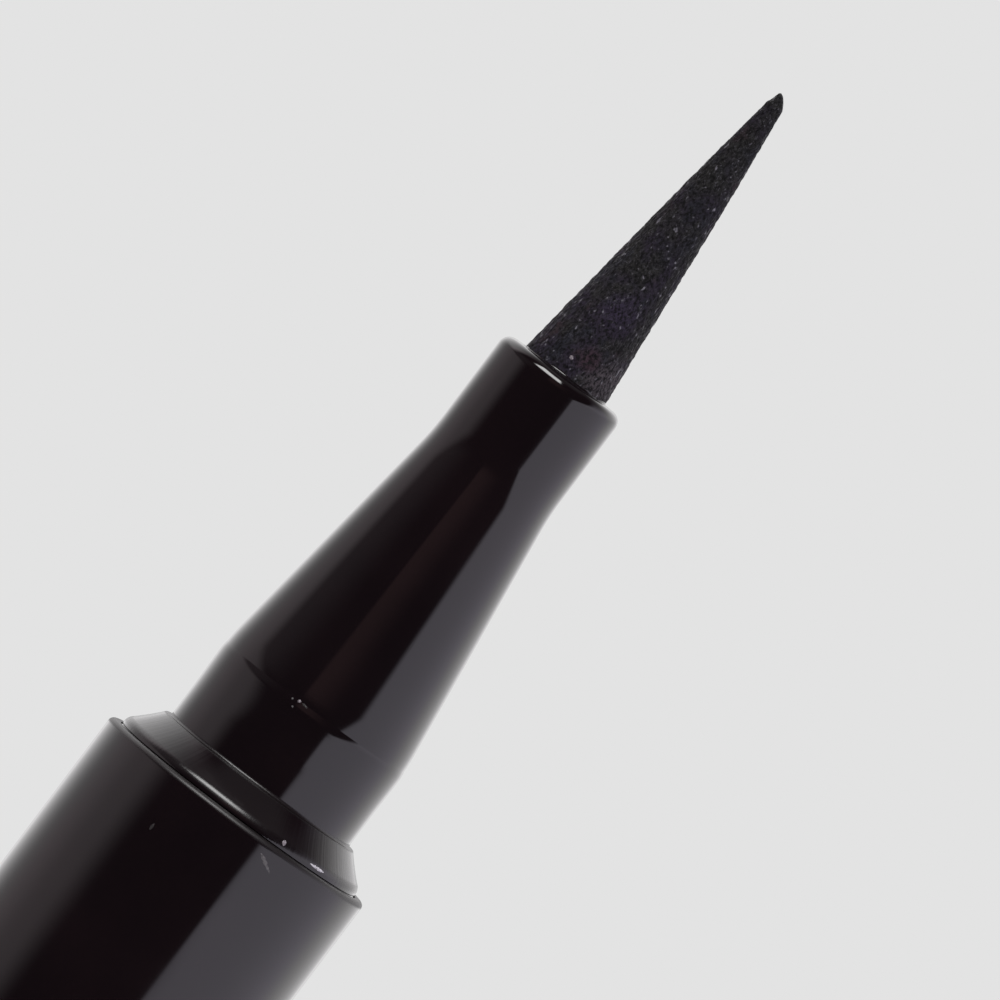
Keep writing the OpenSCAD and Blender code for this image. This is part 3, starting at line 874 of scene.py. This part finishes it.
def make_liner():
    rib_back = cap_len - high_z("seal_cup") - cup_rest
    rib_front = rib_back - rib_t
    outline = softened([
        (sleeve_bore_r, cap_mouth, sleeve_round),
        (sleeve_r, cap_mouth),
        (sleeve_r, sleeve_floor),
        (sleeve_bore_r, sleeve_floor),
        (sleeve_bore_r, rib_back),
        (rib_r, rib_back),
        (rib_r, rib_front),
        (sleeve_bore_r, rib_front),
    ])
    piece = turned("cap_liner", braced(outline), cap_len, -1)
    dress(piece, "cap", "inner_plastic", NATURAL, "cap_sleeve")


# The nib: pressed fibre that leans a hair off the axis, swells above its middle and has a blunt bent tip.
# Lumps, felt and fibres make it rough: the lumps less where it is thin, and all less in the tip's middle
NIB_SIDES = 240
NIB_RINGS = 330
NIB_ROOT = 0.6
TIP_LEN = 0.42
TIP_TAPER = 0.6
TIP_BEND = 0.09
TIP_BLUNT = 8
TIP_LEAST = 0.0004
SWELL_HIGH = 1.6
LUMP_ROUGH = 0.024
LUMPS_PER_MM = 5
LUMP_LEAST = 0.25
FELT_ROUGH = 0.01
FELT_PER_MM = 9
FIBRE_ROUGH = 0.009
FIBRES_ACROSS = 16
FIBRES_ALONG = 6
SMOOTH_R = 0.2


def past_tip(height):
    """How far a height lies along the nib's blunt tip, from 0 at its start to 1 at its end."""
    return max(0.0, (height - nib_len + TIP_LEN) / TIP_LEN)


def nib_radius(height):
    """The nib's radius at a height above the nose, before its surface is roughened."""
    share = max(0.0, min(1.0, height / nib_len))
    r = nib_r + (nib_tip_r - nib_r) * share + nib_swell * math.sin(math.pi * share ** SWELL_HIGH)
    past = past_tip(height)
    return r * (1 - TIP_TAPER * past) * math.sqrt(max(TIP_LEAST, 1 - past ** TIP_BLUNT))


def fibre_rough(x, y, height):
    """How far the felt stands out or in at a place on the nib."""
    if height <= 0:
        return 0.0
    spot = Vector((x, y, height))
    rough = LUMP_ROUGH * noise.noise(spot * LUMPS_PER_MM)
    rough *= min(1.0, math.hypot(x, y) / nib_r + LUMP_LEAST)
    rough += FELT_ROUGH * noise.noise(spot * FELT_PER_MM)
    across = Vector((x * FIBRES_ACROSS, y * FIBRES_ACROSS, height * FIBRES_ALONG))
    return rough + FIBRE_ROUGH * noise.noise(across)


def nib_aside(height):
    """How far the nib's middle lies to the right of the pen's axis: the shank is straight at its end."""
    seated = max(0.0, min(1.0, 1 - height / nib_end))
    return nib_shift * seated + nib_lean * max(0.0, height / nib_len) - TIP_BEND * past_tip(height) ** 2


def nib_rings():
    """The nib's (radius, height) from the wick's socket round the shank's end and up to the tip."""
    shank = arc((socket_r, nib_end), (nib_r, nib_end), (nib_r, 0), shank_round)
    heights = [-NIB_ROOT + (nib_len + NIB_ROOT) * i / NIB_RINGS for i in range(NIB_RINGS + 1)]
    socket = [(socket_r, nib_end + socket_len), (socket_r, nib_end)]
    return socket + shank + [(nib_radius(height), height) for height in heights]


def make_nib():
    verts = []
    rings = nib_rings()
    for r, height in rings:
        lean = nib_aside(height)
        for k in range(NIB_SIDES):
            turn = 2 * math.pi * k / NIB_SIDES
            rough = fibre_rough(r * math.cos(turn), r * math.sin(turn), height) * min(1.0, r / SMOOTH_R)
            x = (r + rough) * math.cos(turn) + lean
            y = (r + rough) * math.sin(turn)
            verts.append((x * MM, y * MM, (rim_z + nose_len + height) * MM))
    piece = mesh_object("felt_point", verts, tube_faces(len(rings), NIB_SIDES))
    return dress(piece, "pen", "felt", FELT, "felt_nib")


# Ring of wet ink that creeps up the nib's base, thick and thin by turns
WET_LEAST = 0.35
WET_MEAN = 0.7
WET_LUMPS = 2.6


def make_ink_ring():
    outline = softened([
        (nib_r + ink_ring_r, 0),
        (nib_r, 0, ink_ring_r),
        (nib_r, ink_ring_r),
        (nib_r - ink_ring_r, ink_ring_r),
        (nib_r - ink_ring_r, -seat_gap),
        (nib_r + ink_ring_r, -seat_gap),
    ])
    base = rim_z + nose_len
    piece = turned("ink_ring", outline, base)
    for vertex in piece.data.vertices:
        x, y, z = vertex.co
        reach = math.hypot(x, y)
        lump = noise.noise(Vector((x, y, 0)) / reach * WET_LUMPS)
        share = max(WET_LEAST, min(1.0, WET_MEAN + lump))
        new_reach = nib_r * MM + (reach - nib_r * MM) * share
        height = base * MM + max(0.0, z - base * MM) * share + min(0.0, z - base * MM)
        vertex.co = (x / reach * new_reach + nib_shift * MM, y / reach * new_reach, height)
    dress(piece, "pen", "gloss_black", BLACK)


# Small marks left by use, and two pale films on the bead that are painted highlights
MARK_STEPS = 18
MARK_SIDES = 12
MARK_THICK = 0.012
MARK_RAGGED = 0.45
MARK_LUMPS_PER_MM = 14


def mark_spots(carrier, start, end, wide, taper):
    """Places along a mark, each with its carrier's normal there and half the mark's width."""
    mesh = carrier.data
    tree = BVHTree.FromPolygons([v.co for v in mesh.vertices], [p.vertices for p in mesh.polygons])
    spots = []
    for i in range(MARK_STEPS + 1):
        share = 0.5 - 0.5 * math.cos(math.pi * (i + 0.5) / (MARK_STEPS + 1))
        height = start[0] + (end[0] - start[0]) * share
        turn = math.radians(start[1] + (end[1] - start[1]) * share)
        outward = Vector((math.sin(turn), -math.cos(turn), 0))
        origin = (outward * 2 * barrel_r + Vector((0, 0, rim_z + height))) * MM
        spot, normal = tree.ray_cast(origin, -outward)[:2]
        half = wide / 2 * math.sqrt(1 - (2 * share - 1) ** 2) * (1 - taper * share)
        half *= 1 + MARK_RAGGED * noise.noise(spot / MM * MARK_LUMPS_PER_MM)
        spots.append((spot, normal, half))
    return spots


def make_mark(name, carrier, finish, start, end, wide, taper=0.0, slot="gloss_black"):
    """A thin film on its carrier between two places, each a height above the rim and degrees right."""
    spots = mark_spots(carrier, start, end, wide, taper)
    way = (spots[-1][0] - spots[0][0]).normalized()
    verts = []
    for spot, normal, half in spots:
        side = way.cross(normal).normalized()
        thick = MARK_THICK * min(1.0, half / wide * 2)
        for k in range(MARK_SIDES):
            turn = 2 * math.pi * k / MARK_SIDES
            verts.append(spot + (side * (half * math.cos(turn)) + normal * (thick * math.sin(turn))) * MM)
    faces = tube_faces(len(spots), MARK_SIDES, leftward=False)
    dress(mesh_object(name, verts, faces), "pen", slot, finish)


def make_marks(barrel, collar, nose, nib):
    make_mark("neck_speck_large", nose, THIN_FILM_AND_HIGHLIGHT, (3.94, -8.9), (3.87, -7.7), 0.11)
    make_mark("neck_speck_left", nose, FAINT_FILM, (3.86, -12.6), (3.82, -11.6), 0.07)
    make_mark("neck_speck_low", nose, FAINT_FILM, (3.68, -9.9), (3.62, -9.1), 0.07)
    make_mark("neck_streak", nose, GREY_FILM, (3.905, -6.3), (3.875, -2.7), 0.08)
    # Painted highlights: two pale films where the bead's rounding catches light
    make_mark("bead_painted_highlight_small", collar, THIN_FILM_AND_HIGHLIGHT, (0.24, 22.3), (0.24, 24.1), 0.17)
    make_mark("bead_painted_highlight_long", collar, PAINTED_HIGHLIGHT_FILM, (0.18, 38.5), (0.179, 47.2), 0.09)
    make_mark("barrel_scratch", barrel, FAINT_FILM, (-0.40, 16.3), (-0.74, 23.5), 0.15, 0.6)
    make_mark("barrel_blemish", barrel, GREY_FILM, (-1.62, -21.6), (-1.86, -21.6), 0.09)
    make_mark("nib_fleck", nib, THIN_FILM_AND_HIGHLIGHT, (17.15, -8.5), (17.07, -3.5), 0.11, slot="felt")


# The cap's spring, as one smooth wound wire
WIRE_R = 0.2
CURLS = 7
CURL_STEPS = 48
WIRE_SIDES = 14


def make_spring():
    low = low_z("cap_spring") + WIRE_R
    high = high_z("cap_spring") - WIRE_R
    reach = radius("cap_spring") - WIRE_R
    steps = CURLS * CURL_STEPS
    verts = []
    for i in range(steps + 1):
        turn = 2 * math.pi * i / CURL_STEPS
        z = low + (high - low) * i / steps
        for k in range(WIRE_SIDES):
            side = 2 * math.pi * k / WIRE_SIDES
            r = reach + WIRE_R * math.cos(side)
            height = z + WIRE_R * math.sin(side)
            verts.append((r * math.cos(turn) * MM, r * math.sin(turn) * MM, height * MM))
    piece = mesh_object("spring_wire", verts, tube_faces(steps + 1, WIRE_SIDES, leftward=False))
    dress(piece, "cap", "steel", STEEL, "cap_spring")
    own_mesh(piece)


make_marks(make_barrel(), make_collar(), make_nose(), make_nib())
make_tail()
make_cap()
make_liner()
make_ink_ring()
make_spring()

# The inner pieces keep their own solids and get their finish
FINISHES = {
    "nib_retainer": NATURAL,
    "nose_o_ring": SEAL,
    "feed_wick": FELT,
    "ink_collector": NATURAL,
    "tank_bulkhead": NATURAL,
    "bulkhead_o_ring": SEAL,
    "ink_tank": NATURAL,
    "mixing_ball": STEEL,
    "tank_plug": NATURAL,
    "tank_plug_o_ring": SEAL,
    "seal_cup": NATURAL,
    "seal_ring": SEAL,
}
for name, finish in FINISHES.items():
    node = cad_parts[name]
    node.data.materials.clear()
    node.data.materials.append(finish)

bpy.context.scene.view_settings.view_transform = "Standard"
